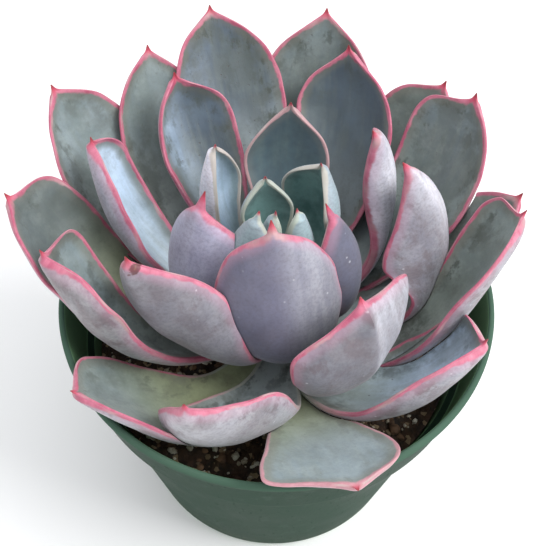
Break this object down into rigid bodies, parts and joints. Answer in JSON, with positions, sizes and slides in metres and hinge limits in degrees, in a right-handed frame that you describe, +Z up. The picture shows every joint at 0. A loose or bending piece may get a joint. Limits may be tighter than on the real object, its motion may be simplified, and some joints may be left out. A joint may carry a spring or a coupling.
{
  "type": "potted echeveria",
  "caption": "Rosette succulent with thick cupped grey-green leaves edged in pink, on a short stem in dark potting mix, in a round green nursery pot.",
  "frame": {"origin": "centre of the pot's flat base, on the surface that it stands on", "axes": "+Z up along the pot's axis; -Y is the side that the picture was taken from"},
  "size_m": [0.1686, 0.1704, 0.1601],
  "materials": {
    "pot_plastic": "satin moulded plastic",
    "potting_mix": "peat with perlite and bark",
    "stem": "green-brown stem skin",
    "leaf": "leaf skin with a powdery bloom"
  },
  "bodies": {
    "root": {"pot": "pot_plastic", "soil": "potting_mix", "stem": "stem", "leaf_01": "leaf", "leaf_02": "leaf", "leaf_03": "leaf", "leaf_04": "leaf", "leaf_05": "leaf", "leaf_06": "leaf", "leaf_07": "leaf", "leaf_08": "leaf", "leaf_09": "leaf", "leaf_10": "leaf", "leaf_11": "leaf", "leaf_12": "leaf", "leaf_13": "leaf", "leaf_14": "leaf", "leaf_15": "leaf", "leaf_16": "leaf", "leaf_17": "leaf", "leaf_18": "leaf", "leaf_19": "leaf", "leaf_20": "leaf", "leaf_21": "leaf", "leaf_22": "leaf", "leaf_23": "leaf", "leaf_24": "leaf", "leaf_25": "leaf", "leaf_26": "leaf", "leaf_27": "leaf", "leaf_28": "leaf", "leaf_29": "leaf", "leaf_30": "leaf", "leaf_31": "leaf", "leaf_32": "leaf", "leaf_33": "leaf", "leaf_34": "leaf", "leaf_35": "leaf"}
  },
  "joints": []
}
